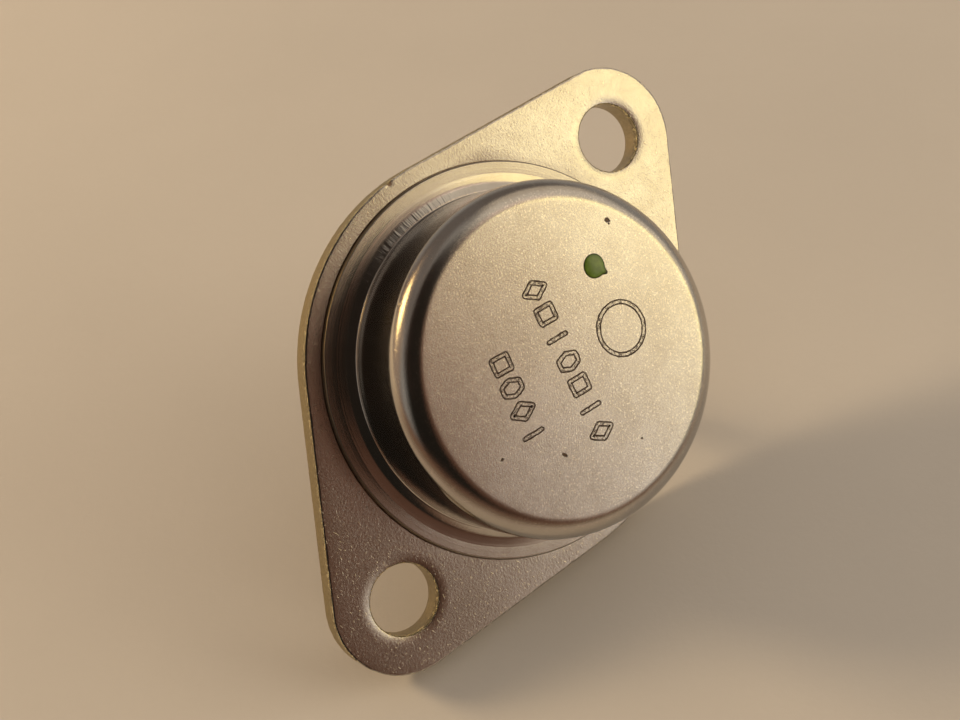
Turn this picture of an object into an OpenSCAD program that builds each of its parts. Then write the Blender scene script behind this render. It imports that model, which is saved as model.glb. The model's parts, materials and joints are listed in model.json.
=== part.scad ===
// Three-terminal voltage regulator in a welded metal can.
// A pressed steel flange carries two leads in glass seals, a drawn cap is
// welded on top of it, and the chip sits inside on a copper heat spreader.
// The seating face is the plane z = 0, its centre is the origin, the cap
// points to +Z, the screw holes lie on the X axis and the leads hang to -Z.

/* [Flange] */
// Thickness of the pressed steel flange
flange_t = 1.52; // [1.2:0.02:2]
// Distance between the centres of the two screw holes
screw_pitch = 30.15; // [29.6:0.05:32]
// Diameter of a screw hole
screw_hole_d = 4.1; // [3.4:0.05:4.4]
// Radius of the flange's ends, round each screw hole
end_r = 4.25; // [3.8:0.05:4.8]
// Radius of the flange's middle
middle_r = 12.55; // [12.2:0.05:13.2]
// Rounding that the press leaves on the flange's top edge
edge_round = 0.2; // [0.06:0.01:0.4]
// Rounding at the mouth of a screw hole
mouth_round = 0.22; // [0.06:0.01:0.4]

/* [Cap] */
// Height of the cap above the flange
cap_h = 6.9; // [6.2:0.05:9]
// Radius of the cap's wall, outside
wall_r = 9.85; // [9.4:0.05:10]
// Thickness of the drawn sheet
sheet_t = 0.45; // [0.3:0.01:0.6]
// Rounding between the wall and the flat top, outside
top_round = 1.35; // [0.8:0.05:2]
// Radius of the welded brim
brim_r = 11.6; // [11.3:0.05:12]
// Thickness of the brim, pressed thin by the weld
brim_t = 0.3; // [0.2:0.01:0.4]
// Width of the sloping flare between brim and wall
flare_w = 0.85; // [0.6:0.05:1]
// Rise of the flare above the brim
flare_h = 0.48; // [0.3:0.02:0.6]
// Width of the step where the flare meets the wall
crease = 0.06; // [0.03:0.01:0.15]

/* [Leads] */
// Diameter of a lead before it is tinned
lead_d = 1; // [0.8:0.02:1.2]
// Distance between the two leads
lead_pitch = 10.92; // [10.2:0.02:11.6]
// Distance of the leads from the line between the two sides
lead_offset = 1.83; // [0.6:0.03:2.4]
// Reach of a lead below the seating face
lead_reach = 11.2; // [7:0.1:14]
// Thickness of the tin coat on the free end
tin_t = 0.025; // [0.015:0.005:0.05]
// Bare stretch between the seating face and the tin
tin_gap = 0.8; // [0.4:0.1:1.6]
// Bevel at the lead's tip
tip_bevel = 0.15; // [0.05:0.01:0.3]
// Rise of the lead's head above the flange, inside the cap
head_rise = 1.2; // [0.8:0.05:1.6]
// Diameter of the flattened head
head_d = 1.9; // [1.5:0.05:2.2]
// Thickness of the flattened head
head_t = 0.35; // [0.2:0.01:0.5]

/* [Glass seals] */
// Diameter of a glass seal
seal_d = 3.5; // [2.6:0.05:3.7]
// Depth of the glass below each face of the flange
seal_recess = 0.1; // [0.02:0.01:0.2]
// Depth of the hollow between lead and flange on each glass face
meniscus = 0.14; // [0.05:0.01:0.2]

/* [Chip and spreader] */
// Diameter of the copper spreader
spreader_d = 11; // [9.6:0.1:12]
// Width of the spreader across its two flats
spreader_w = 6.8; // [5.4:0.1:7]
// Thickness of the spreader
spreader_t = 1; // [0.6:0.05:1.4]
// Thickness of the braze under the spreader
braze_t = 0.05; // [0.03:0.01:0.1]
// Reach of the braze past the spreader's edge
braze_lip = 0.12; // [0.02:0.01:0.16]
// Length of the chip, along X
chip_l = 3.8; // [3.2:0.1:4.4]
// Width of the chip, along Y
chip_w = 3.2; // [2.6:0.1:4]
// Thickness of the chip
chip_t = 0.3; // [0.2:0.01:0.4]
// Thickness of the solder under the chip
solder_t = 0.05; // [0.03:0.01:0.1]
// Reach of the solder past the chip's edge
solder_lip = 0.15; // [0.05:0.01:0.3]

/* [Bond wires] */
// Diameter of a bond wire
wire_d = 0.25; // [0.15:0.01:0.3]
// Distance between neighbouring wires at one lead
wire_gap = 0.55; // [0.42:0.01:0.6]
// Length of the flattened foot
foot_l = 0.5; // [0.35:0.01:0.6]
// Width of the flattened foot
foot_w = 0.34; // [0.3:0.01:0.4]
// Thickness of the flattened foot
foot_t = 0.14; // [0.08:0.01:0.2]
// Distance of a foot from the chip's edge
pad_inset = 0.45; // [0.35:0.01:0.7]
// Height of the loop over a wire that runs to a lead
lead_loop = 0.8; // [0.5:0.05:1.2]
// Height of the loop over the wire that runs to the spreader
ground_loop = 0.45; // [0.3:0.01:0.6]
// Distance from the chip's edge to the ground wire's outer foot
ground_reach = 1.3; // [1:0.05:1.6]

/* [Inspection dot] */
// Diameter of the paint dot on the cap
dot_d = 1.3; // [0.9:0.05:1.8]
// Height of the paint dot
dot_h = 0.1; // [0.04:0.01:0.16]
// Distance of the dot from the cap's centre, along X
dot_x = -5.22; // [-6:0.02:6]
// Distance of the dot from the cap's centre, along Y
dot_y = -0.82; // [-3:0.02:3]
// Length of the tail that the brush left
dot_tail = 0.9; // [0.75:0.05:1.2]

/* [Hidden] */
$fn = 96;

// A little more than nothing, so that a cut runs clear of a face
clear = 0.1;

screw_x = screw_pitch / 2;

// Heights, counted from the seating face
flange_top = flange_t;
cap_top = flange_top + cap_h;
head_top = flange_top + head_rise;
spreader_z = flange_top + braze_t;
spreader_top = spreader_z + spreader_t;
chip_z = spreader_top + solder_t;
chip_top = chip_z + chip_t;

// The cap's flare, measured from the flange's top face, and the same slope on the inside
foot_r = wall_r + crease;
flare_top = brim_t + flare_h;
flare_slope = flare_h / flare_w;
sheet_rise = sheet_t * norm([1, flare_slope]);
inner_r = wall_r - sheet_t;
inner_flare = flare_top + (foot_r - inner_r) * flare_slope - sheet_rise;
inner_foot = inner_r + inner_flare / flare_slope;
inner_h = cap_h - sheet_t;
inner_round = top_round - sheet_t;

// The input lead lies on the -Y side and the output lead on the +Y side
input_at = [-lead_offset, -lead_pitch / 2];
output_at = [-lead_offset, lead_pitch / 2];

// Feet of the wires on the chip, and the step from one wire to the next
pad_x = -chip_l / 4;
pad_y = chip_w / 2 - pad_inset;
ground_x = chip_l / 2 - pad_inset;

// Shapes that more than one piece uses

// Disc of the flange's thickness, with its top edge rounded
module rounded_disc(r) {
    rotate_extrude() {
        square([r - edge_round, flange_t]);
        square([r, flange_t - edge_round]);
        translate([r - edge_round, flange_t - edge_round]) circle(edge_round, $fn = 32);
    }
}

// Screw hole with its rolled mouth at the top
module screw_hole() {
    hole_r = screw_hole_d / 2;
    translate([0, 0, -clear]) cylinder(r = hole_r, h = flange_t + 2 * clear);
    translate([0, 0, flange_t - mouth_round]) rotate_extrude() difference() {
        square([hole_r + mouth_round, mouth_round + clear]);
        translate([hole_r + mouth_round, 0]) circle(mouth_round);
    }
}

// Disc with two flats, such as the spreader and the braze under it
module flatted_disc(d, w, t) {
    intersection() {
        cylinder(d = d, h = t);
        translate([-d, -w / 2, -clear]) cube([2 * d, w, t + 2 * clear]);
    }
}

// Lead with a flat head at the top and a tinned free end
module lead() {
    lead_r = lead_d / 2;
    tinned_r = lead_r + tin_t;
    tinned_l = lead_reach - tin_gap - tip_bevel;
    translate([0, 0, -tin_gap]) cylinder(r = lead_r, h = tin_gap + head_top);
    translate([0, 0, head_top - head_t]) cylinder(d = head_d, h = head_t);
    translate([0, 0, -tin_gap - tinned_l]) cylinder(r = tinned_r, h = tinned_l);
    translate([0, 0, -lead_reach])
        cylinder(r1 = tinned_r - tip_bevel, r2 = tinned_r, h = tip_bevel);
}

// Glass ring that fills the flange's hole round a lead, hollowed on both faces
module glass_seal() {
    seal_r = seal_d / 2;
    lead_r = lead_d / 2;
    ring_w = seal_r - lead_r;
    glass_t = flange_t - 2 * seal_recess;
    hollow_r = (ring_w * ring_w / 4 + meniscus * meniscus) / (2 * meniscus);
    translate([0, 0, seal_recess]) rotate_extrude() difference() {
        translate([lead_r, 0]) square([ring_w, glass_t]);
        for (face_z = [meniscus - hollow_r, glass_t - meniscus + hollow_r])
            translate([lead_r + ring_w / 2, face_z]) circle(hollow_r, $fn = 4 * $fn);
    }
}

// Flattened foot of a bond wire, its length along X
module wire_foot() {
    straight = foot_l - foot_w;
    linear_extrude(foot_t) {
        translate([-straight / 2, -foot_w / 2]) square([straight, foot_w]);
        for (end_x = [-straight / 2, straight / 2])
            translate([end_x, 0]) circle(foot_w / 2, $fn = 32);
    }
}

// Wire that loops in one arc from a foot at `from` to a lower foot at `to`
module bond_wire(from, to, loop) {
    across = [to.x - from.x, to.y - from.y];
    span = norm(across);
    drop = from.z - to.z;
    chord = norm([span, drop]);
    loop_r = (chord * chord / 4 + loop * loop) / (2 * loop);
    half_turn = asin(chord / 2 / loop_r);
    translate(from) rotate([0, 0, atan2(across.y, across.x)]) difference() {
        union() {
            wire_foot();
            translate([span, 0, -drop]) wire_foot();
            translate([span / 2, 0, (foot_t - drop) / 2]) rotate([0, atan2(drop, span), 0])
                translate([0, 0, loop - loop_r]) rotate([90, 0, 0])
                    rotate([0, 0, 90 - half_turn]) rotate_extrude(angle = 2 * half_turn)
                        translate([loop_r, 0]) circle(wire_d / 2, $fn = 32);
        }
        translate([-span, -wire_d, -span]) cube([1.5 * span, 2 * wire_d, span]);
        translate([span / 2, -wire_d, -drop - span]) cube([span, 2 * wire_d, span]);
    }
}

// Wire from the chip to a lead; side is -1 or 1, and step moves it along X
module lead_wire(lead_at, side, step) {
    bond_wire(
        [pad_x + step * wire_gap, side * pad_y, chip_top],
        [lead_at.x + step * wire_gap, lead_at.y, head_top],
        lead_loop
    );
}

// The pieces

// Pressed flange: its straight sides touch the end rounds and the middle round
module flange() {
    color([0.62, 0.55, 0.47]) difference() {
        hull() {
            rounded_disc(middle_r);
            for (x = [-screw_x, screw_x]) translate([x, 0, 0]) rounded_disc(end_r);
        }
        for (x = [-screw_x, screw_x]) translate([x, 0, 0]) screw_hole();
        for (at = [input_at, output_at])
            translate([at.x, at.y, -clear]) cylinder(d = seal_d, h = flange_t + 2 * clear);
    }
}

// Drawn cap: thin shell with a rounded top, a creased foot and a welded brim
module cap() {
    color([0.66, 0.58, 0.48]) translate([0, 0, flange_top]) rotate_extrude() difference() {
        union() {
            square([brim_r - brim_t / 2, brim_t]);
            translate([brim_r - brim_t / 2, brim_t / 2]) circle(brim_t / 2, $fn = 32);
            polygon([
                [0, 0], [foot_r + flare_w, 0], [foot_r + flare_w, brim_t],
                [foot_r, flare_top], [0, flare_top]
            ]);
            square([wall_r, cap_h - top_round]);
            square([wall_r - top_round, cap_h]);
            translate([wall_r - top_round, cap_h - top_round]) circle(top_round);
        }
        translate([0, -clear]) square([inner_r, inner_h - inner_round + clear]);
        square([inner_r - inner_round, inner_h]);
        translate([inner_r - inner_round, inner_h - inner_round]) circle(inner_round);
        polygon([
            [0, -clear], [inner_foot + clear / flare_slope, -clear],
            [inner_r, inner_flare], [0, inner_flare]
        ]);
    }
}

module input_lead() {
    color([0.75, 0.73, 0.68]) translate(input_at) lead();
}

module output_lead() {
    color([0.75, 0.73, 0.68]) translate(output_at) lead();
}

module input_seal() {
    color([0.28, 0.33, 0.31]) translate(input_at) glass_seal();
}

module output_seal() {
    color([0.28, 0.33, 0.31]) translate(output_at) glass_seal();
}

// Copper plate that takes the chip's heat, its flats towards the leads
module heat_spreader() {
    color([0.72, 0.45, 0.3]) translate([0, 0, spreader_z])
        flatted_disc(spreader_d, spreader_w, spreader_t);
}

module spreader_braze() {
    color([0.8, 0.74, 0.6]) translate([0, 0, flange_top])
        flatted_disc(spreader_d + 2 * braze_lip, spreader_w + 2 * braze_lip, braze_t);
}

module chip_solder() {
    solder_l = chip_l + 2 * solder_lip;
    solder_w = chip_w + 2 * solder_lip;
    color([0.6, 0.6, 0.62]) translate([-solder_l / 2, -solder_w / 2, spreader_top])
        cube([solder_l, solder_w, solder_t]);
}

module regulator_chip() {
    color([0.35, 0.4, 0.45]) translate([-chip_l / 2, -chip_w / 2, chip_z])
        cube([chip_l, chip_w, chip_t]);
}

module input_wire_near() {
    color([0.85, 0.85, 0.85]) lead_wire(input_at, -1, 0.5);
}

module input_wire_far() {
    color([0.85, 0.85, 0.85]) lead_wire(input_at, -1, -0.5);
}

module output_wire_near() {
    color([0.85, 0.85, 0.85]) lead_wire(output_at, 1, 0);
}

module output_wire_far() {
    color([0.85, 0.85, 0.85]) lead_wire(output_at, 1, -1);
}

// Thin sense wire beside the two that carry the output current
module sense_wire() {
    color([0.85, 0.85, 0.85]) lead_wire(output_at, 1, 1);
}

// Short wire from the chip down to the spreader, which is the ground terminal
module ground_wire() {
    color([0.85, 0.85, 0.85]) bond_wire(
        [ground_x, 0, chip_top],
        [chip_l / 2 + ground_reach, 0, spreader_top],
        ground_loop
    );
}

// Dab of paint with a short tail along Y
module inspection_dot() {
    dot_r = dot_d / 2;
    dome_r = (dot_r * dot_r + dot_h * dot_h) / (2 * dot_h);
    tail_r = dot_d / 12;
    color([0.33, 0.45, 0.14]) translate([dot_x, dot_y, cap_top]) hull() {
        rotate_extrude($fn = 48) intersection() {
            translate([0, dot_h - dome_r]) circle(dome_r, $fn = 180);
            square([dot_r, dot_h]);
        }
        translate([0, dot_tail - tail_r, 0]) cylinder(r = tail_r, h = dot_h / 4, $fn = 16);
    }
}

flange();
cap();
input_lead();
output_lead();
input_seal();
output_seal();
heat_spreader();
spreader_braze();
chip_solder();
regulator_chip();
input_wire_near();
input_wire_far();
output_wire_near();
output_wire_far();
sense_wire();
ground_wire();
inspection_dot();
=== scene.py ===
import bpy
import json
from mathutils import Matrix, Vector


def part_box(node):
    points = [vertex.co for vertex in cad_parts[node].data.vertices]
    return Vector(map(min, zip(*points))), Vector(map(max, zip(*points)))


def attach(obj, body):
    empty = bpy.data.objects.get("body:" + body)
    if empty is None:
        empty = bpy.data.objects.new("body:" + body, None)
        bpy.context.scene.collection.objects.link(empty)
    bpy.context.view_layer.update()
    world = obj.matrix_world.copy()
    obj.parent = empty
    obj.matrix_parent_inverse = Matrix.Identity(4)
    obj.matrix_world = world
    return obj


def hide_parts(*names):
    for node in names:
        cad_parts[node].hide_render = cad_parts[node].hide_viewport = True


bl_info = {
    "name": "Power Regulator in a Steel Can",
    "version": (1, 0, 0),
    "blender": (4, 5, 0),
    "location": "View3D > Sidebar > Regulator",
    "description": "Builds the plated flange, drawn cap, paint dot, ink marks, finishes and studio",
    "category": "Object",
}

import json
import math

import bmesh
import bpy
from bpy.props import FloatProperty, FloatVectorProperty, PointerProperty
from mathutils import Matrix, Vector, noise
from mathutils.geometry import delaunay_2d_cdt

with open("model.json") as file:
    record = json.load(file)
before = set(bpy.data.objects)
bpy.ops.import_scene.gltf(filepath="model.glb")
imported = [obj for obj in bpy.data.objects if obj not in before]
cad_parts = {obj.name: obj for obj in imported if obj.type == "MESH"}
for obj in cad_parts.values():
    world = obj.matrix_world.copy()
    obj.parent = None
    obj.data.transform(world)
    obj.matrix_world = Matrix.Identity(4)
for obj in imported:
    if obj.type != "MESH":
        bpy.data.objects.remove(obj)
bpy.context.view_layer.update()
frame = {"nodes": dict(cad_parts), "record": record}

# The meshes are worked out in millimetres and turned into metres at the end
MM = 0.001
FLANGE_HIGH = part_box("flange")[1]
CAP_LOW, CAP_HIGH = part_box("cap")
DIMS = {mount["name"]: mount["dims"] for mount in frame["record"]["mounts"]}
INPUT_LOW, INPUT_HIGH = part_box("input_seal")
OUTPUT_LOW, OUTPUT_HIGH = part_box("output_seal")


# ---- settings


def length_setting(name, description, value, low, high):
    return FloatProperty(name=name, description=description, default=value, min=low, max=high,
                         unit="LENGTH", precision=5)


def share_setting(name, description, value):
    return FloatProperty(name=name, description=description, default=value, min=0, max=1,
                         subtype="FACTOR")


def colour_setting(name, description, value):
    return FloatVectorProperty(name=name, description=description, default=value, size=3,
                               min=0, max=1, subtype="COLOR")


class FlangeSettings(bpy.types.PropertyGroup):
    thickness: length_setting("Thickness", "Thickness of the pressed plate", FLANGE_HIGH.z,
                              0.001, 0.003)
    middle_radius: length_setting("Middle radius", "Radius of the wide middle", FLANGE_HIGH.y,
                                  0.01, 0.015)
    end_radius: length_setting("End radius", "Radius of the plate round each screw hole",
                               FLANGE_HIGH.x - DIMS["screw_holes"]["spacing_x_mm"] * MM / 2,
                               0.003, 0.006)
    roll: length_setting("Edge roll", "Rounding that the press leaves on the top edge", 0.00011,
                         0, 0.0005)
    mouth: length_setting("Hole mouth", "Rounding at the top of a screw hole", 0.00007, 0, 0.0005)
    dish: length_setting("Mouth dish", "Width of the plate drawn down round a screw hole", 0.0007,
                         0, 0.002)


class CapSettings(bpy.types.PropertyGroup):
    height: length_setting("Height", "Height of the cap above the plate", CAP_HIGH.z - CAP_LOW.z,
                           0.005, 0.009)
    wall_radius: length_setting("Wall radius", "Outside radius of the wall", 0.00985, 0.009, 0.01)
    sheet: length_setting("Sheet", "Thickness of the drawn sheet", 0.00045, 0.0003, 0.0006)
    rounding: length_setting("Rounding", "Radius between the wall and the flat top", 0.00135,
                             0.0008, 0.002)
    brim: length_setting("Brim", "Thickness of the welded brim", 0.00036, 0.0002, 0.0005)
    foot: length_setting("Foot", "Radius at the foot of the wall", 0.00014, 0.0001, 0.0004)


class MarkSettings(bpy.types.PropertyGroup):
    stroke: length_setting("Stroke", "Width of an inked stroke", 0.00031, 0.0001, 0.0006)
    film: length_setting("Film", "Thickness of the ink", 0.000006, 0.000001, 0.00003)
    dot: length_setting("Dot", "Diameter of the paint dot", 0.00138, 0.0008, 0.002)


class FinishSettings(bpy.types.PropertyGroup):
    plating: colour_setting("Plating", "Colour of the nickel plate", (0.6, 0.575, 0.54))
    plating_shade: colour_setting("Plating shade", "Colour of its duller patches", (0.46, 0.42, 0.375))
    paint: colour_setting("Paint", "Colour of the inspection dot", (0.1, 0.16, 0.014))
    ink: colour_setting("Ink", "Colour of the marks", (0.035, 0.02, 0.012))
    floor: colour_setting("Floor", "Colour of the table", (0.6, 0.53, 0.465))


class StudioSettings(bpy.types.PropertyGroup):
    lens: FloatProperty(name="Lens", description="Focal length of the camera", default=49.8,
                        min=20, max=200, unit="CAMERA")
    key: FloatProperty(name="Key light", description="Power of the warm lamp on the left",
                       default=0.75, min=0, unit="POWER")
    window: FloatProperty(name="Window light", description="Power of the wide light on the right",
                          default=0.62, min=0, unit="POWER")
    wall: FloatProperty(name="Wall light", description="Power of the dim glow above the window",
                        default=0.5, min=0, unit="POWER")
    shine: FloatProperty(name="Shine", description="Brightness of the lamps that show in the metal",
                         default=1, min=0)
    room: share_setting("Room light", "Strength of the light from all round", 0.5)
    room_tint: colour_setting("Room tint", "Colour of the light from all round", (0.72, 0.65, 0.57))


def settings(context, part):
    return getattr(context.scene, "regulator_" + part)


# ---- mesh helpers


def new_mesh(name, points, faces, material, values=None):
    """A mesh with one material, and with named numbers stored at its points"""
    mesh = bpy.data.meshes.new(name)
    mesh.from_pydata(points, [], faces)
    for label, numbers in (values or {}).items():
        mesh.attributes.new(label, "FLOAT", "POINT").data.foreach_set("value", numbers)
    mesh.materials.append(material)
    return mesh


def new_object(name, data, axes=None, place=None):
    """Puts an object into the scene, turned to three axes and moved to a place in metres"""
    made = bpy.data.objects.new(name, data)
    if axes:
        matrix = Matrix(axes).transposed().to_4x4()
        matrix.translation = place
        made.matrix_world = matrix
    bpy.context.scene.collection.objects.link(made)
    return made


def add_piece(name, points, faces, material, stands_for=None, values=None):
    """Makes a smooth closed mesh from points in millimetres and puts it on the object"""
    mesh = new_mesh(name, [Vector(p) * MM for p in points], faces, material, values)
    work = bmesh.new()
    work.from_mesh(mesh)
    bmesh.ops.recalc_face_normals(work, faces=work.faces)
    work.to_mesh(mesh)
    work.free()
    mesh.polygons.foreach_set("use_smooth", [True] * len(mesh.polygons))
    piece = new_object(name, mesh)
    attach(piece, "root")
    if stands_for:
        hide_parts(stands_for)


def join_rings(faces, upper, lower):
    """Adds the four-sided faces between two closed rings of point numbers"""
    count = len(upper)
    for i in range(count):
        j = (i + 1) % count
        faces.append((upper[i], upper[j], lower[j], lower[i]))


def join_rows(faces, rings):
    """Joins each ring to the next one"""
    for upper, lower in zip(rings, rings[1:]):
        join_rings(faces, upper, lower)


def add_ring(points, places):
    """Adds the places to the points and returns their numbers"""
    start = len(points)
    points.extend(places)
    return list(range(start, len(points)))


def full_turn(count):
    """Angles once round a circle, evenly spaced"""
    return [2 * math.pi * k / count for k in range(count)]


def clamp(value):
    return min(1.0, max(0.0, value))


def fill_flat(faces, points, outer, holes):
    """Fills a flat convex ring with triangles, leaving the round holes open"""
    numbers = list(outer)
    for ring, _, _ in holes:
        numbers += ring
    place = {number: i for i, number in enumerate(numbers)}
    edges = []
    for ring in [outer] + [ring for ring, _, _ in holes]:
        edges += [(place[ring[i - 1]], place[ring[i]]) for i in range(len(ring))]
    flat = [Vector(points[number][:2]) for number in numbers]
    corners, _, triangles, origins, _, _ = delaunay_2d_cdt(flat, edges, [], 1, 1e-7)
    for triangle in triangles:
        middle = sum((corners[i] for i in triangle), Vector((0, 0))) / 3
        inside = any(
            (middle - Vector(centre)).length < radius * math.cos(math.pi / len(ring))
            for ring, centre, radius in holes
        )
        if not inside:
            faces.append([numbers[origins[i][0]] for i in triangle])


def ripple(x, y, z, scale):
    return noise.noise(Vector((x, y, z)) * scale)


# ---- flange shape

SIDE_STEP = 0.12  # between neighbouring points round the plate, in millimetres
FLAT_MARGIN = 0.85  # from the side to where the plate is flat
DROOP = 0.008  # how far the top falls before it rolls over
ROLL_ANGLE = 30  # how steep the rolled edge gets, in degrees
ROLL_STEPS, SIDE_STEPS = 6, 8
HOLE_SEGMENTS, SEAL_SEGMENTS = 168, 96
DISH_DROP = 0.045  # how deep the mouth of a screw hole is drawn down
DISH_POWER = 2.6
# Marks on the plate's top edge: place, how far it goes in, how far it goes up, and its width
EDGE_MARKS = (
    ((-5.44, -11.29), 0.1, -0.03, 0.16),
    ((8.71, 9.10), -0.10, 0.05, 0.13),
    ((18.53, 2.26), 0.09, 0.02, 0.12),
    ((-9.6, -8.3), 0.06, -0.02, 0.1),
)


def plate_outline(end_r, middle_r, half_pitch):
    """Points round the plate, each with its outward direction"""
    turn = math.acos((middle_r - end_r) / half_pitch)
    arcs = [
        (half_pitch, end_r, -turn, turn),
        (0, middle_r, turn, math.pi - turn),
        (-half_pitch, end_r, math.pi - turn, math.pi + turn),
        (0, middle_r, math.pi + turn, 2 * math.pi - turn),
    ]
    points = []
    for i, (x, r, start, stop) in enumerate(arcs):
        count = math.ceil(r * (stop - start) / SIDE_STEP)
        for k in range(count):
            a = start + (stop - start) * k / count
            points.append((x + r * math.cos(a), r * math.sin(a), math.cos(a), math.sin(a)))
        next_x, next_r, next_start, _ = arcs[(i + 1) % 4]
        here = Vector((x + r * math.cos(stop), r * math.sin(stop)))
        there = Vector((next_x + next_r * math.cos(next_start), next_r * math.sin(next_start)))
        count = math.ceil((there - here).length / SIDE_STEP)
        for k in range(count):
            p = here.lerp(there, k / count)
            points.append((p.x, p.y, math.cos(stop), math.sin(stop)))
    return points


def plate_edge(x, y, top, roll):
    """Inset and height of each point down the plate's ragged edge at one place"""
    inward, upward = 0.0, 0.0
    for place, depth, rise, width in EDGE_MARKS:
        near = math.exp(-((Vector((x, y)) - Vector(place)).length / width) ** 2)
        inward += depth * near
        upward += rise * near
    slow, rag, fine = (ripple(x, y, i * 5.0, s) for i, s in enumerate((0.5, 2.6, 8.0)))
    roll = roll * (1 + 0.25 * slow) + 0.025 * rag + 0.015 * fine
    # The press rolls the top down a little, up to the sharp corner where the shear began
    last = math.radians(ROLL_ANGLE)
    radius = roll / math.sin(last)
    rows = [(FLAT_MARGIN, top), (FLAT_MARGIN - 0.1, top), (0.5, top - 0.001),
            (0.36, top - 0.003), (0.24, top - 0.005)]
    for k in range(ROLL_STEPS + 1):
        a = last * k / ROLL_STEPS
        out = k / ROLL_STEPS
        rows.append((roll - radius * math.sin(a) + inward * (0.4 + 0.6 * out) + 0.012 * rag * out,
                     top - DROOP - radius * (1 - math.cos(a)) + upward * (1 - 0.6 * out)))
    corner = rows[-1]
    rows += [(corner[0] - 0.006, corner[1] - 0.008), (corner[0] - 0.008, corner[1] - 0.022)]
    low = rows[-1][1]
    # Under that corner the side is smooth at first and torn from a third of the way down
    for k in range(1, SIDE_STEPS + 1):
        t = k / SIDE_STEPS
        tear = clamp((t - 0.3) * 4)
        grain = ripple(x * 1.2, y * 1.2, low * t, 5.0) * 0.014 + ripple(x, y, t, 9.0) * 0.008
        rows.append((0.002 + tear * (0.012 + grain) + inward * max(0, 0.8 - 2 * t),
                     low + (0.06 - low) * t))
    rows += [(0.03, 0.018), (0.08, 0.0), (0.2, 0.0)]
    return rows


def flange_mesh(sizes):
    """Points, faces and side values of the plate with its screw and seal holes"""
    top = sizes.thickness / MM
    half_pitch = DIMS["screw_holes"]["spacing_x_mm"] / 2
    hole_r = DIMS["screw_holes"]["hole_r_mm"]
    points, faces, side = [], [], []

    def ring(places, value):
        side.extend([value] * len(places))
        return add_ring(points, places)

    outline = plate_outline(sizes.end_radius / MM, sizes.middle_radius / MM, half_pitch)
    columns = [plate_edge(x, y, top, sizes.roll / MM) for x, y, _, _ in outline]
    rings = []
    for row in range(len(columns[0])):
        places = []
        for (x, y, nx, ny), column in zip(outline, columns):
            inset, height = column[row]
            places.append((x - nx * inset, y - ny * inset, height))
        # The side's finish takes over at the corner where the shear began
        rings.append(ring(places, clamp((row - 10) / 2)))
    join_rows(faces, rings)

    def bore(x, y, rows, segments, bright):
        """A hole through the plate; returns the rims that the flat faces leave open"""
        made = []
        for r, z in rows:
            places = []
            for a in full_turn(segments):
                c, s = math.cos(a), math.sin(a)
                rough = 0 if z in (0, top) else 0.006 * ripple(x + r * c, y + r * s, z, 3.0)
                places.append((x + (r + rough) * c, y + (r + rough) * s, z))
            made.append(ring(places, bright if r < rows[-1][0] - 0.08 else 0.0))
        join_rows(faces, made)
        return (made[0], (x, y), rows[0][0]), (made[-1], (x, y), rows[-1][0])

    mouth, dish = sizes.mouth / MM, sizes.dish / MM
    edge = hole_r + mouth
    screw_rows = [(edge + dish + 0.12, top), (edge + dish + 0.06, top)]
    for t in (k / 12 for k in range(12)):
        screw_rows.append((edge + dish * (1 - t), top - DISH_DROP * t**DISH_POWER))
    # The rounding goes on at the slope with which the dish ends, down to the upright bore
    lean = math.atan(DISH_DROP * DISH_POWER / dish)
    for t in (k / 8 for k in range(9)):
        a = lean + (math.pi / 2 - lean) * t
        screw_rows.append((edge + mouth * (math.sin(lean) - math.sin(a)) / (1 - math.sin(lean)),
                           top - DISH_DROP - mouth * (math.cos(lean) - math.cos(a))))
    screw_rows += [(hole_r, 0.9), (hole_r, 0.5), (hole_r + 0.01, 0.1), (hole_r + 0.03, 0.02),
                   (hole_r + 0.07, 0.0), (hole_r + 0.15, 0.0)]
    holes = [bore(x, 0, screw_rows, HOLE_SEGMENTS, 0.8) for x in (half_pitch, -half_pitch)]
    for low, high in ((INPUT_LOW, INPUT_HIGH), (OUTPUT_LOW, OUTPUT_HIGH)):
        middle = (low + high) / 2 / MM
        seal_r = (high.x - low.x) / 2 / MM
        rows = [(seal_r + 0.04, top), (seal_r, top - 0.03), (seal_r, 0.8), (seal_r, 0.05),
                (seal_r + 0.02, 0.015), (seal_r + 0.06, 0.0), (seal_r + 0.14, 0.0)]
        holes.append(bore(middle.x, middle.y, rows, SEAL_SEGMENTS, 0.0))
    for outer, rims in zip((rings[0], rings[-1]), zip(*holes)):
        fill_flat(faces, points, outer, rims)
    return points, faces, side


# ---- cap shape

CAP_SEGMENTS = 480
BRIM_RADIUS = 11.6
BRIM_STEP = 0.03  # between the rings of the brim's slope
# How steeply the brim climbs towards the wall: radius, and angle in degrees
SLOPE = ((10.95, 0), (10.72, 5), (10.4, 6), (10.2, 20), (9.9, 25))
FOOT_INSET = 0.05  # how far the wall is drawn in at its foot
# Faint rings that the welding tool left on the brim: radius, height and width
WELD_RINGS = ((11.14, 0.0015, 0.05), (10.89, -0.0025, 0.04), (10.8, 0.0015, 0.04))


def slope_angle(r):
    """Angle of the brim's slope at a radius"""
    for (far, low), (near, high) in zip(SLOPE, SLOPE[1:]):
        if r > near:
            return math.radians(low + (high - low) * clamp((far - r) / (far - near)))
    return math.radians(SLOPE[-1][1])


def arc(x, z, r, start, stop, count):
    """Points on an arc, with the angles in degrees from +X"""
    made = []
    for k in range(count + 1):
        a = math.radians(start + (stop - start) * k / count)
        made.append((x + r * math.cos(a), z + r * math.sin(a)))
    return made


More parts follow.
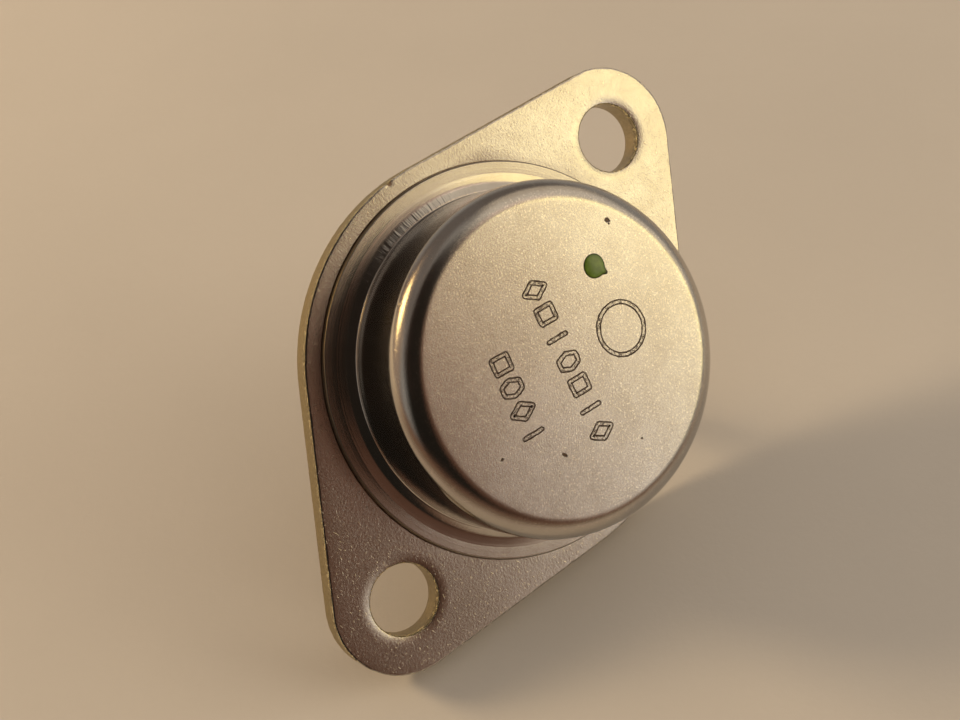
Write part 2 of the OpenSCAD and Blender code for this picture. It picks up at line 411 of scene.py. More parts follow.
def cap_profile(sizes):
    """Radius and height of the cap's section, from the brim over the top and back inside"""
    height, wall, sheet = sizes.height / MM, sizes.wall_radius / MM, sizes.sheet / MM
    rounding, brim, foot = sizes.rounding / MM, sizes.brim / MM, sizes.foot / MM
    outside = [(wall + 0.55, 0.0), (BRIM_RADIUS - 0.2, 0.0), (BRIM_RADIUS - 0.07, 0.012),
               (BRIM_RADIUS - 0.02, 0.05), (BRIM_RADIUS, 0.13), (BRIM_RADIUS, brim - 0.12)]
    outside += arc(BRIM_RADIUS - 0.11, brim - 0.1, 0.1, 0, 90, 7)
    lean = slope_angle(wall)
    inner = wall - FOOT_INSET + foot * (1 - math.sin(lean))
    r, climb = BRIM_RADIUS - 0.15, 0.0
    while r > inner + 0.02:
        lift = sum(high * math.exp(-(((r - at) / width) ** 2)) for at, high, width in WELD_RINGS)
        outside.append((r, brim + climb + lift))
        climb += BRIM_STEP * math.tan(slope_angle(r - BRIM_STEP / 2))
        r -= BRIM_STEP
    low = brim + climb + foot * math.cos(lean)
    outside += arc(wall - FOOT_INSET + foot, low, foot, 270 - math.degrees(lean), 180, 9)
    outside += [(wall - FOOT_INSET + 0.004, low + 0.08), (wall - 0.008, low + 0.3)]
    # The wall is a little wavy up to the rounding
    start = low + 0.3
    for k in range(1, 8):
        z = start + (height - rounding - start) * k / 8
        outside.append((wall + 0.004 * math.sin(k * 1.9) - 0.004, z))
    outside += arc(wall - rounding, height - rounding, rounding, 0, 90, 26)
    flat = wall - rounding
    outside += [(flat * part, height) for part in (0.97, 0.9, 0.75, 0.5, 0.25, 0.06)]
    inner_r, turn = wall - sheet, rounding - sheet
    inside = [(flat * 0.06, height - sheet), (flat * 0.5, height - sheet)]
    inside += arc(inner_r - turn, height - rounding, turn, 90, 0, 10)
    inside += [(inner_r, 3.2), (inner_r, 0.55)]
    return outside, inside


def cap_mesh(sizes):
    """Points and faces of the cap, turned round its axis"""
    base = sizes.wall_radius / MM
    bottom = CAP_LOW.z / MM
    outside, inside = cap_profile(sizes)
    points, faces, rings = [], [], []
    for r, z in outside + inside:
        places = []
        edge = max(0.0, 1 - abs(r - BRIM_RADIUS) / 0.2)
        for a in full_turn(CAP_SEGMENTS):
            c, s = math.cos(a), math.sin(a)
            grow = edge * (0.02 * ripple(c, s, 0, 9.0) + 0.012 * ripple(c, s, 2, 40.0))
            if abs(r - base) < 0.05:
                grow += 0.004 * ripple(c, s, z * 0.2, 3.0)
            places.append(((r + grow) * c, (r + grow) * s, bottom + z))
        rings.append(add_ring(points, places))
    # The section's two halves meet round the axis, where each ends in a small disc
    join_rows(faces, rings[:len(outside)])
    join_rows(faces, rings[len(outside):])
    join_rings(faces, rings[-1], rings[0])
    faces += rings[len(outside) - 1:len(outside) + 1]
    return points, faces


# ---- paint dot and marks

DOT_CENTRE = (-5.22, -0.84)
DOT_HEIGHT = 0.085
DOT_SUNK = 0.004  # how far its foot goes into the cap
DOT_SEGMENTS, DOT_ROWS = 96, 14
TAIL_ANGLE = math.radians(94)
TAIL_REACH = 0.22


def dot_mesh(sizes):
    """Points and faces of a domed dab of paint with a short tail"""
    base = CAP_HIGH.z / MM - DOT_SUNK
    radius = sizes.dot / MM / 2
    points, faces, rings = [], [], []
    for row in range(DOT_ROWS + 1):
        out = 1 - row / DOT_ROWS
        places = []
        for a in full_turn(DOT_SEGMENTS):
            turn = abs((a - TAIL_ANGLE + math.pi) % (2 * math.pi) - math.pi)
            reach = radius * (1 + 0.02 * math.sin(2 * a + 1)) - 0.02
            tail = TAIL_REACH * math.exp(-((turn / 0.2) ** 2)) * out**8
            tail += 0.06 * math.exp(-((turn / 0.55) ** 2)) * out**3
            r = (reach + tail) * out
            dome = DOT_HEIGHT * (1 - out**2.6) ** 0.62 if out < 1 else 0
            places.append((DOT_CENTRE[0] + r * math.cos(a), DOT_CENTRE[1] + r * math.sin(a),
                           base + DOT_SUNK + dome))
        rings.append(add_ring(points, places))
        if row == 0:
            foot = add_ring(points, [(x, y, base) for x, y, _ in places])
            join_rings(faces, foot, rings[0])
            faces.append(foot)
    # The last ring has closed to a point, so it becomes one
    last = rings.pop()
    points = points[:last[0] + 1]
    join_rows(faces, rings)
    for k in range(DOT_SEGMENTS):
        faces.append((rings[-1][k], rings[-1][(k + 1) % DOT_SEGMENTS], last[0]))
    return points, faces


INK_LIFT = 0.0005  # from the cap's top to the film, in millimetres
CORNER_BEND = 0.08
# Places across a stroke, from one rim to the other
LANES = (-1.0, -0.78, -0.5, 0.0, 0.5, 0.78, 1.0)
# Two rows of plain shapes, from the middle of the first to the middle of the last
ROW_ONE = ((-2.33, -3.48), (2.60, 3.56),
           ("diamond", "square", "dash", "hexagon", "square", "dash", "diamond"))
ROW_TWO = ((2.09, -3.49), (4.55, -0.16), ("square", "hexagon", "diamond", "dash"))
RING_MARK = ((-2.98, 2.20), 1.45)
# Corners of each shape, in millimetres
MARK_SHAPES = {
    "dash": ((0, -0.58), (0, 0.58)),
    "square": ((-0.42, -0.5), (0.42, -0.5), (0.42, 0.5), (-0.42, 0.5)),
    "diamond": ((0, -0.72), (0.46, 0), (0, 0.72), (-0.46, 0)),
    "hexagon": ((-0.24, -0.58), (0.24, -0.58), (0.46, 0), (0.24, 0.58), (-0.24, 0.58), (-0.46, 0)),
}


def mark_path(kind):
    """Centre line of one mark, with x across and y up, and whether it is closed"""
    corners = [Vector(corner) for corner in MARK_SHAPES[kind]]
    if len(corners) == 2:
        return [tuple(corners[0].lerp(corners[1], k / 10)) for k in range(11)], False
    path, count = [], len(corners)
    for i, here in enumerate(corners):
        before, after = corners[i - 1], corners[(i + 1) % count]
        start = here + (before - here).normalized() * CORNER_BEND
        stop = here + (after - here).normalized() * CORNER_BEND
        for k in range(6):
            t = k / 5
            path.append(tuple(start.lerp(here, t).lerp(here.lerp(stop, t), t)))
        edge = after + (here - after).normalized() * CORNER_BEND
        path += [tuple(stop.lerp(edge, k / 6)) for k in range(1, 6)]
    return path, True


def add_stroke(points, faces, across, path, closed, width, base, film, seed):
    """Lays a thin closed slab along a path; across runs from 0 in its middle to 1 at its rim"""
    count = len(path)
    sections = []
    for i, place in enumerate(path):
        before = Vector(path[i - 1] if closed or i else path[0])
        after = Vector(path[(i + 1) % count] if closed or i < count - 1 else path[-1])
        along = (after - before).normalized()
        out = Vector((along.y, -along.x))
        sections.append((Vector(place), out, width / 2, 0.0))
    if not closed:
        for end, step in ((0, -1), (-1, 1)):
            place, out, half, _ = sections[end]
            along = Vector((-out.y, out.x))
            caps = [(place + along * step * half * math.sin(a), out, half * math.cos(a), math.sin(a))
                    for a in map(math.radians, (30, 60, 82))]
            sections = caps[::-1] + sections if end == 0 else sections + caps
    first = len(points)
    for place, out, half, end in sections:
        for lane in LANES:
            p = place + out * lane * half
            wave = 0.022 * ripple(p.x + seed, p.y, seed, 3.1)
            p = p + out * (wave + 0.03 * lane * ripple(p.x, p.y + seed, seed, 6.0))
            edge = max(abs(lane) * (half / (width / 2)), end)
            points.append((p.x, p.y, base + film * (0.6 + 0.4 * edge)))
            across.append(edge)
        # The underside has the value -1
        for lane in (-1.0, 1.0):
            p = place + out * lane * half
            points.append((p.x, p.y, base))
            across.append(-1.0)
    size = len(LANES) + 2
    spans = len(sections) if closed else len(sections) - 1
    for i in range(spans):
        a = first + i * size
        b = first + ((i + 1) % len(sections)) * size
        for k in range(len(LANES) - 1):
            faces.append((a + k, a + k + 1, b + k + 1, b + k))
        left, right = size - 2, size - 1
        faces.append((a, b, b + left, a + left))
        faces.append((a + len(LANES) - 1, a + right, b + right, b + len(LANES) - 1))
        faces.append((a + left, b + left, b + right, a + right))
    if not closed:
        for start in (first, first + (len(sections) - 1) * size):
            rim = [start + k for k in range(len(LANES))]
            faces.append(rim + [start + size - 1, start + size - 2])


def marks_mesh(sizes):
    """Points, faces and rim values of the two rows of plain shapes and the ring beside them"""
    base = CAP_HIGH.z / MM + INK_LIFT
    film, stroke = sizes.film / MM, sizes.stroke / MM
    points, faces, across = [], [], []
    for start, stop, kinds in (ROW_ONE, ROW_TWO):
        start, stop = Vector(start), Vector(stop)
        right = (stop - start).normalized()
        up = Vector((-right.y, right.x))
        for i, kind in enumerate(kinds):
            middle = start.lerp(stop, i / (len(kinds) - 1))
            path, closed = mark_path(kind)
            placed = [middle + right * x + up * y for x, y in path]
            add_stroke(points, faces, across, placed, closed, stroke, base, film, i * 3.7)
    centre, radius = RING_MARK
    path = [Vector(centre) + Vector((math.cos(a), math.sin(a))) * radius for a in full_turn(120)]
    add_stroke(points, faces, across, path, True, stroke, base, film, 11.0)
    return points, faces, across


# ---- node work


class Tree:
    """Short names for adding and joining the nodes of one tree"""

    def __init__(self, tree):
        self.tree = tree

    def node(self, kind, *values, **options):
        """Adds a shader node, sets its options and fills its first inputs"""
        made = self.tree.nodes.new("ShaderNode" + kind)
        for name, value in options.items():
            setattr(made, name, value)
        for value, into in zip(values, made.inputs):
            self.put(value, into)
        return made

    def join(self, out, into):
        self.tree.links.new(out, into)

    def put(self, value, into):
        """Joins a socket, or sets a plain number or colour"""
        if isinstance(value, bpy.types.NodeSocket):
            self.join(value, into)
        else:
            into.default_value = value

    def fill(self, made, **values):
        """Fills a node's inputs by name and returns its outputs"""
        for name, value in values.items():
            self.put(value, made.inputs[name.replace("_", " ")])
        return made.outputs

    def maths(self, operation, total, *others, clamp=False):
        """One operation on two values, or run along several"""
        for other in others:
            made = self.node("Math", total, other, operation=operation, use_clamp=clamp)
            total = made.outputs[0]
        return total

    def times(self, *values):
        return self.maths("MULTIPLY", *values)

    def plus(self, *values):
        return self.maths("ADD", *values)

    def minus(self, a, b):
        return self.maths("SUBTRACT", a, b)

    def most(self, *values):
        return self.maths("MAXIMUM", *values)

    def pile(self, total, *layers):
        """Adds values to a first one, each given with its weight"""
        for value, weight in layers:
            total = self.plus(total, self.times(value, weight))
        return total

    def vector(self, operation, *values, output="Vector"):
        return self.node("VectorMath", *values, operation=operation).outputs[output]

    def scaled(self, a, scale):
        return self.fill(self.node("VectorMath", a, operation="SCALE"), Scale=scale)[0]

    def combine(self, x, y, z):
        return self.node("CombineXYZ", x, y, z).outputs[0]

    def split(self, a):
        return self.node("SeparateXYZ", a).outputs

    def noise(self, place, scale=1.0, detail=2.0, rough=0.5):
        return self.fill(self.node("TexNoise"), Vector=place, Scale=scale, Detail=detail,
                         Roughness=rough)["Fac"]

    def cells(self, place, scale):
        return self.fill(self.node("TexVoronoi"), Vector=place, Scale=scale)

    def fade(self, value, low, high, start=0.0, stop=1.0):
        """Smooth step of a value from low..high to start..stop"""
        return self.node("MapRange", value, low, high, start, stop,
                         interpolation_type="SMOOTHSTEP").outputs["Result"]

    def fall(self, value, low, high):
        """Smooth step from 1 down to 0"""
        return self.fade(value, low, high, 1.0, 0.0)

    def mix(self, amount, a, b):
        """Mix of two colours, each a socket or plain numbers"""
        made = self.node("Mix", amount, data_type="RGBA")
        for value, into in ((a, made.inputs[6]), (b, made.inputs[7])):
            self.put(value if isinstance(value, bpy.types.NodeSocket) else (*value[:3], 1), into)
        return made.outputs[2]

    def stain(self, colour, *layers):
        """Lays tints over a colour, each given with its mask and its strength"""
        for mask, strength, tint in layers:
            colour = self.mix(mask if strength == 1 else self.times(mask, strength), colour, tint)
        return colour

    def blend(self, amount, a, b):
        """Straight mix of two numbers"""
        made = self.node("Mix", amount, data_type="FLOAT")
        self.put(a, made.inputs[2])
        self.put(b, made.inputs[3])
        return made.outputs[0]

    def place(self):
        """Place on the object, in millimetres"""
        return self.scaled(self.node("TexCoord").outputs["Object"], 1 / MM)

    def stored(self, name):
        """A number stored at the points of the mesh"""
        return self.node("Attribute", attribute_name=name).outputs["Fac"]

    def shared(self, name, place, **values):
        """Outputs of a shared node group, which is built the first time it is asked for"""
        label = "regulator_" + name
        if label not in bpy.data.node_groups:
            GROUPS[name]().name = label
        made = self.node("Group", node_tree=bpy.data.node_groups[label])
        return self.fill(made, Place=place, **values)


def new_group(name, inputs, *outputs):
    """An empty node group that takes a place and more inputs and gives numbers"""
    tree = bpy.data.node_groups.new(name, "ShaderNodeTree")
    for label, value in {"Place": (0.0, 0.0, 0.0), **inputs}.items():
        kind = "NodeSocketVector" if isinstance(value, tuple) else "NodeSocketFloat"
        tree.interface.new_socket(label, in_out="INPUT", socket_type=kind).default_value = value
    for label in outputs:
        tree.interface.new_socket(label, in_out="OUTPUT", socket_type="NodeSocketFloat")
    given = tree.nodes.new("NodeGroupInput").outputs
    return Tree(tree), given, tree.nodes.new("NodeGroupOutput").inputs


def grain_group():
    """Orange peel and fine pits of a plated surface"""
    t, given, made = new_group("Plated grain", {"Peel size": 0.5, "Peel": 1.0, "Fine": 1.0},
                               "Height", "Fleck")
    place, size = given["Place"], t.maths("DIVIDE", 1.0, given["Peel size"])
    peel = t.times(t.noise(place, size, 2.0, 0.55), given["Peel"])
    fine = t.times(t.noise(place, t.times(size, 4.2), 3.0, 0.6), given["Fine"])
    t.join(t.plus(peel, fine), made["Height"])
    pit = t.cells(place, t.times(size, 1.7))
    rare = t.fade(t.split(pit["Color"])[0], 0.86, 0.9)
    t.join(t.times(t.fall(pit["Distance"], 0.06, 0.2), rare), made["Fleck"])
    return t.tree


def scratch_group():
    """Short hairlines lying in several directions"""
    t, given, made = new_group("Hairlines", {"Length": 0.8, "Width": 0.05, "Rarity": 0.7}, "Line")
    long = t.maths("DIVIDE", 1.0, given["Length"])
    thin = t.maths("DIVIDE", 0.4, given["Width"])
    high = t.plus(given["Rarity"], 0.05)
    masks = []
    for i, degrees in enumerate((12, 57, 98, 141)):
        turned = t.node("VectorRotate", given["Place"], rotation_type="Z_AXIS")
        x, y, z = t.split(t.fill(turned, Angle=math.radians(degrees))[0])
        spot = t.combine(t.times(x, long), t.times(y, thin), t.plus(t.times(z, 0.5), 7.3 * i))
        masks.append(t.fade(t.noise(spot, 1.0, 1.0, 0.4), given["Rarity"], high))
    t.join(t.most(*masks), made["Line"])
    return t.tree


def tone_group():
    """Slow uneven staining and handling marks"""
    t, given, made = new_group("Handled tone", {"Size": 5.0, "Contrast": 1.0}, "Tone")
    scale = t.maths("DIVIDE", 1.0, given["Size"])
    slow = t.noise(given["Place"], scale, 4.0, 0.6)
    blot = t.noise(given["Place"], t.times(scale, 5.0), 3.0, 0.65)
    both = t.plus(t.times(slow, 0.65), t.times(blot, 0.35))
    spread = t.times(t.minus(both, 0.5), given["Contrast"], 2.6)
    t.join(t.maths("ADD", spread, 0.5, clamp=True), made["Tone"])
    return t.tree


def spot_group():
    """One small ragged mark at a place"""
    t, given, made = new_group(
        "Spot", {"Centre": (0.0, 0.0, 0.0), "Radius": 0.2, "Stretch": (1.0, 1.0, 1.0)}, "Mark")
    away = t.vector("SUBTRACT", given["Place"], given["Centre"])
    far = t.vector("LENGTH", t.vector("MULTIPLY", away, given["Stretch"]), output="Value")
    wobble = t.times(t.minus(t.noise(given["Place"], 6.0), 0.5), 0.9)
    far = t.plus(t.maths("DIVIDE", far, given["Radius"]), wobble)
    t.join(t.fall(far, 0.5, 0.95), made["Mark"])
    return t.tree


def turned_group():
    """Streaks that run along the axis or out from it, round a turned piece"""
    t, given, made = new_group("Turned streaks", {"Around": 30.0, "Along": 0.5},
                               "Streak", "Radius", "Height")
    x, y, z = t.split(given["Place"])
    flat = t.combine(x, y, 0.0)
    radius = t.vector("LENGTH", flat, output="Value")
    around = t.split(t.scaled(t.vector("NORMALIZE", flat), given["Around"]))
    spot = t.combine(around[0], around[1], t.times(t.plus(z, radius), given["Along"]))
    t.join(t.noise(spot, 1.0, 3.0, 0.6), made["Streak"])
    t.join(radius, made["Radius"])
    t.join(z, made["Height"])
    return t.tree


GROUPS = {
    "grain": grain_group, "scratch": scratch_group, "tone": tone_group,
    "spot": spot_group, "turned": turned_group,
}


def new_material(name, **sockets):
    """A material with one Principled shader, its tree, the shader's inputs and the place"""
    material = bpy.data.materials.new(name)
    material.use_nodes = True
    t = Tree(material.node_tree)
    shader = t.tree.nodes["Principled BSDF"]
    t.fill(shader, **sockets)
    return material, t, shader.inputs, t.place()


def add_surface(t, inputs, colour, rough, height, depth):
    """Feeds the shader a colour, a roughness if there is one, and a height in units of depth"""
    t.join(colour, inputs["Base Color"])
    if rough is not None:
        t.join(rough, inputs["Roughness"])
    bump = t.fill(t.node("Bump"), Strength=1.0, Distance=depth, Height=height)
    t.join(bump["Normal"], inputs["Normal"])


# ---- materials


def flange_material(finish):
    """Satin nickel plate: orange peel, pale nicks, dull patches and a torn brassy side"""
    material, t, inputs, place = new_material("Flange_Nickel", Metallic=1.0)
    grain = t.shared("grain", place, Peel_size=0.14, Peel=0.55, Fine=0.3)
    line = t.shared("scratch", place, Length=0.28, Width=0.06, Rarity=0.7)["Line"]
    tone = t.shared("tone", place, Size=6.0, Contrast=1.0)["Tone"]
    nick = t.shared("spot", place, Centre=(-5.44, -11.2, 1.5), Radius=0.22)["Mark"]
    side = t.stored("side")
    torn = t.noise(place, 5.0, 3.0, 0.6)
    x, y, z = t.split(place)
    # Crumbs of bare metal along the top of the sheared side; their bright gold colour is partly a
    # painted glint of the warm lamp
    glint = t.times(t.fade(t.noise(place, 5.0, 3.0, 0.65), 0.46, 0.56), t.fade(z, 1.05, 1.2))
    brass = t.stain(t.mix(torn, (0.3, 0.235, 0.12), (0.52, 0.43, 0.24)),
                    (glint, 1, (1.0, 0.86, 0.46)))
    # Painted shade in the joint round the brim of the cap
    radius = t.vector("LENGTH", t.combine(x, y, 0.0), output="Value")
    joint_shade = t.times(t.fade(radius, 11.58, 11.61), t.fall(radius, 11.63, 11.7))
    colour = t.stain(
        t.mix(tone, finish.plating_shade, finish.plating),
        (line, 0.4, (0.9, 0.8, 0.66)), (grain["Fleck"], 0.55, (0.2, 0.13, 0.09)),
        (joint_shade, 0.85, (0.09, 0.055, 0.035)), (side, 1, brass), (nick, 0.7, (0.26, 0.14, 0.08)))
    rough = t.blend(side, t.blend(tone, 0.21, 0.16), t.blend(glint, 0.42, 0.22))
    rugged = t.plus(t.times(torn, 4.0), t.times(glint, 16.0))
    height = t.pile(grain["Height"], (grain["Fleck"], -1.2), (line, 0.28), (rugged, side))
    add_surface(t, inputs, colour, t.pile(rough, (nick, 0.3)), height, 0.000012)
    return material


# Direction in which the folds at the foot of the cap show most
FOLD_SIDE = (-0.438, -0.899, 0.0)
# Dark pits in the cap: place, radius, and how much each is squeezed along the axes
CAP_PITS = (
    ((-7.86, -1.23, 8.42), 0.16, (1, 0.7, 0.4)), ((-7.74, -1.05, 8.42), 0.07, (1, 1, 0.4)),
    ((6.55, -1.25, 8.42), 0.11, (0.8, 1.2, 0.4)), ((4.74, 2.07, 8.42), 0.13, (1.2, 0.6, 0.4)),
    ((1.86, 6.07, 8.42), 0.07, (1, 1, 0.4)), ((1.8, -9.73, 7.6), 0.17, (0.6, 1.3, 0.4)),
)


def cap_material(finish):
    """Drawn nickel-plated steel: satin top, bright streaked wall, radial draw marks, pits"""
    material, t, inputs, place = new_material("Cap_Nickel", Metallic=1.0)
    grain = t.shared("grain", place, Peel_size=0.1, Peel=0.36, Fine=0.3)
    line = t.shared("scratch", place, Length=0.9, Width=0.03, Rarity=0.75)["Line"]
    tone = t.shared("tone", place, Size=7.0, Contrast=0.9)["Tone"]
    wall = t.shared("turned", place, Around=70.0, Along=0.35)
    folds = t.shared("turned", place, Around=46.0, Along=0.9)["Streak"]
    pits = t.most(*(t.shared("spot", place, Centre=centre, Radius=size, Stretch=stretch)["Mark"]
                    for centre, size, stretch in CAP_PITS))
    # Masks for the parts of the cap, by height and by distance from the axis
    radius, z = wall["Radius"], wall["Height"]
    top = t.fade(z, 8.0, 8.38)
    upright = t.times(t.fade(z, 2.16, 2.3), t.fall(z, 6.9, 7.6))
    low = t.fall(z, 2.3, 2.5)
    slope = t.times(t.fall(radius, 10.8, 10.95), low)
    flat_brim = t.times(t.fade(radius, 10.8, 10.95), low)
    # The brim's outer edge is darker and rougher: rough like weld flash, and darker partly as painted
    # shade of the gap under it
    edge = t.fade(radius, 11.5, 11.56)
    # Short folds where the sheet was drawn in, plain to see on one side only
    sector = t.vector("DOT_PRODUCT", t.vector("NORMALIZE", place), FOLD_SIDE, output="Value")
    folded = t.times(t.fade(radius, 9.88, 9.96), t.fall(radius, 10.15, 10.5),
                     t.fade(sector, 0.78, 0.97, 0.1, 1.0), t.fall(z, 2.35, 2.5))
    speck = t.times(t.fade(t.noise(place, 9.0, 2.0, 0.7), 0.55, 0.68), top)
    fleck = t.times(grain["Fleck"], t.blend(top, 0.25, 0.6))
    colour = t.stain(
        t.mix(tone, finish.plating_shade, finish.plating),
        (line, 0.35, (0.84, 0.78, 0.68)), (speck, 0.5, (0.86, 0.8, 0.7)),
        (fleck, 1, (0.19, 0.12, 0.08)), (pits, 0.85, (0.08, 0.035, 0.02)),
        (edge, 1, (0.3, 0.24, 0.18)))
    rough = t.blend(tone, 0.175, 0.135)
    for mask, value in ((upright, t.blend(wall["Streak"], 0.09, 0.17)), (flat_brim, 0.2),
                        (slope, 0.15), (edge, 0.42)):
        rough = t.blend(mask, rough, value)
    peel = t.times(grain["Height"], t.blend(t.most(upright, slope), 1.0, 0.4))
    height = t.pile(peel, (line, 0.12), (pits, -4.0), (fleck, -1.0),
                    (t.times(wall["Streak"], upright), 1.2), (t.times(folds, folded), 3.5))
    add_surface(t, inputs, colour, t.pile(rough, (pits, 0.3)), height, 0.00001)
    return material


PAINT_LEVEL = 8.42  # height from which the paint's rim is measured


def paint_material(finish):
    """Glossy enamel with a thin dark rim where it runs out on the metal"""
    material, t, inputs, place = new_material("Green_Paint", Roughness=0.24, Coat_Weight=0.2,
                                              Coat_Roughness=0.08, IOR=1.45)
    rim = t.fall(t.minus(t.split(place)[2], PAINT_LEVEL), 0.01, 0.055)
    cloud = t.fade(t.noise(place, 2.4, 3.0, 0.6), 0.35, 0.65)
    colour = t.stain(finish.paint, (cloud, 1, [c * 1.35 for c in finish.paint]),
                     (rim, 1, (0.03, 0.035, 0.006)))
    add_surface(t, inputs, colour, None, t.noise(place, 3.0), 0.000008)
    return material


def ink_material(finish):
    """Brown stamp ink: dense along the rim of each stroke, thin and broken inside"""
    material, t, inputs, place = new_material("Stamp_Ink", Roughness=0.55,
                                              Specular_IOR_Level=0.15)
    rim = t.stored("rim")
    worn = t.noise(place, 5.5, 4.0, 0.7)
    dust = t.noise(place, 17.0, 2.0, 0.6)
    cover = t.most(t.fade(rim, 0.36, 0.5), t.fade(worn, 0.48, 0.6, 0.08, 0.8))
    # Only the upper side of the film shows; its underside has a rim value below 0
    back = t.node("NewGeometry").outputs["Backfacing"]
    seen = t.times(t.minus(1.0, back), t.fade(rim, -0.3, -0.05))
    t.join(t.times(cover, t.fade(dust, 0.3, 0.42, 0.45, 1.0), seen), inputs["Alpha"])
    t.join(t.mix(worn, finish.ink, [c * 2.2 for c in finish.ink]), inputs["Base Color"])
    t.join(t.fade(dust, 0.2, 0.8, 0.45, 0.65), inputs["Roughness"])
    return material


def lead_material():
    """Hot-dipped tin: soft waves and dull patches"""
    material, t, inputs, place = new_material("Tinned_Lead", Metallic=1.0)
    tone = t.shared("tone", place, Size=1.6, Contrast=1.1)["Tone"]
    streak = t.noise(t.vector("MULTIPLY", place, (3.0, 3.0, 0.5)), 1.0, 3.0, 0.6)
    add_surface(t, inputs, t.mix(tone, (0.5, 0.48, 0.44), (0.72, 0.7, 0.66)),
                t.blend(tone, 0.38, 0.2), streak, 0.00004)
    return material


def glass_material():
    """Dark green fused glass with small bubbles"""
    material, t, inputs, place = new_material("Seal_Glass", Roughness=0.1, IOR=1.5,
                                              Coat_Weight=0.5, Coat_Roughness=0.04)
    swirl = t.noise(place, 1.6, 3.0, 0.6)
    bubble = t.cells(place, 4.5)
    dots = t.times(t.fall(bubble["Distance"], 0.08, 0.16),
                   t.fade(t.split(bubble["Color"])[1], 0.6, 0.7))
    colour = t.stain(t.mix(swirl, (0.012, 0.028, 0.022), (0.035, 0.06, 0.05)),
                     (dots, 0.5, (0.12, 0.16, 0.14)))
    add_surface(t, inputs, colour, None, t.pile(swirl, (dots, 0.6)), 0.00002)
    return material


def inner_metal(name, dark, pale, rough, size, depth):
    """Plain metal of an inner piece: uneven tone and a fine surface"""
    material, t, inputs, place = new_material(name, Metallic=1.0)
    tone = t.shared("tone", place, Size=size, Contrast=1.0)["Tone"]
    grain = t.shared("grain", place, Peel_size=size * 0.15, Peel=1.0, Fine=0.6)
    add_surface(t, inputs, t.mix(tone, dark, pale), t.blend(tone, rough * 1.25, rough * 0.85),
                grain["Height"], depth)
    return material


def silicon_material():
    """Dark chip with faint straight metal tracks"""
    material, t, inputs, place = new_material("Silicon", Metallic=0.6)
    tracks = t.fill(t.node("TexBrick", offset=0.5, squash=1.0), Vector=place, Scale=5.0,
                    Mortar_Size=0.06, Brick_Width=0.9, Row_Height=0.35,
                    Color1=(0.08, 0.09, 0.12, 1), Color2=(0.12, 0.11, 0.15, 1),
                    Mortar=(0.55, 0.53, 0.5, 1))
    rough = t.fade(t.noise(place, 6.0, 3.0), 0.3, 0.7, 0.12, 0.28)
    add_surface(t, inputs, tracks["Color"], rough, tracks["Fac"], 0.000004)
    return material


def floor_material(finish):
    """Plain pale card, seen from above only"""
    material, t, inputs, place = new_material("Floor_Card", Roughness=0.75)
    cloud = t.fade(t.noise(place, 0.035, 4.0, 0.55), 0.3, 0.7)
    fibre = t.noise(place, 1.6, 5.0, 0.65)
    colour = t.stain(t.mix(cloud, [c * 0.96 for c in finish.floor], finish.floor),
                     (fibre, 0.12, [c * 0.8 for c in finish.floor]))
    add_surface(t, inputs, colour, None, fibre, 0.00002)
    both = t.node("MixShader", t.node("NewGeometry").outputs["Backfacing"],
                  t.tree.nodes["Principled BSDF"].outputs[0],
                  t.node("BsdfTransparent").outputs[0])
    t.join(both.outputs[0], t.tree.nodes["Material Output"].inputs["Surface"])
    return material


# ---- the stage

# The part leans on one straight edge of its flange and on the tip of the output lead
EDGE_START = Vector((17.42, 3.54, 0.0))
EDGE_STOP = Vector((6.94, 10.48, 0.0))
LEAD_TIP = Vector((-1.83, 5.75, -11.2))
CAMERA_PLACE = Vector((16.152, -31.234, 70.763))
CAMERA_RIGHT = Vector((-0.39970, 0.80853, 0.43188))
CAMERA_AIM = Vector((-0.19862, 0.38356, -0.90190))
FLOOR_SIZE = 1.4  # in metres
FLOOR_DROP = 0.02  # in millimetres


def camera_axes():
    """Right, up and back directions of the camera"""
    back = -CAMERA_AIM.normalized()
    right = (CAMERA_RIGHT - back * CAMERA_RIGHT.dot(back)).normalized()
    return right, back.cross(right), back


def add_camera(lens):
    data = bpy.data.cameras.new("Camera")
    data.lens = lens
    data.sensor_width = 36
    data.clip_start, data.clip_end = 0.001, 10
    bpy.context.scene.camera = new_object("Camera", data, camera_axes(), CAMERA_PLACE * MM)


def table_axes():
    """Right, away and up directions of the table that the part rests on"""
    along = (EDGE_STOP - EDGE_START).normalized()
    down = (LEAD_TIP - EDGE_START).normalized()
    up = along.cross(down).normalized()
    if up.z < 0:
        up = -up
    right = camera_axes()[0]
    right = (right - up * right.dot(up)).normalized()
    return right, up.cross(right), up


def direction(azimuth, elevation):
    """Direction over the table: azimuth runs from straight away from the camera to the right"""
    right, away, up = table_axes()
    a, e = math.radians(azimuth), math.radians(elevation)
    return (right * math.sin(a) + away * math.cos(a)) * math.cos(e) + up * math.sin(e)


def add_lamp(name, azimuth, elevation, distance, size, power, tint, shows=False):
    """A wide lamp that looks at the part from a direction over the table"""
    data = bpy.data.lights.new(name, "AREA")
    data.shape = "RECTANGLE"
    data.size, data.size_y = size
    data.energy = power
    data.color = tint
    out = direction(azimuth, elevation)
    across = out.cross(table_axes()[2]).normalized()
    lamp = new_object(name, data, (across, out.cross(across), out), out * distance)
    lamp.visible_camera = False
    # A lamp either lights the set or shows in the metal
    lamp.visible_diffuse, lamp.visible_glossy = not shows, shows


def add_pane(name, turns, rises, brightness, shine):
    """A far lamp that only shows in the metal, between two azimuths and two elevations"""
    middle = sum(turns) / 2, sum(rises) / 2
    wide, tall = (2 * PANE_DISTANCE * math.tan(math.radians(abs(b - a) / 2))
                  for a, b in (turns, rises))
    wide *= math.cos(math.radians(middle[1]))
    most = max(brightness)
    power = most * shine * math.pi * wide * tall
    add_lamp(name, *middle, PANE_DISTANCE, (wide, tall), power, [c / most for c in brightness], True)


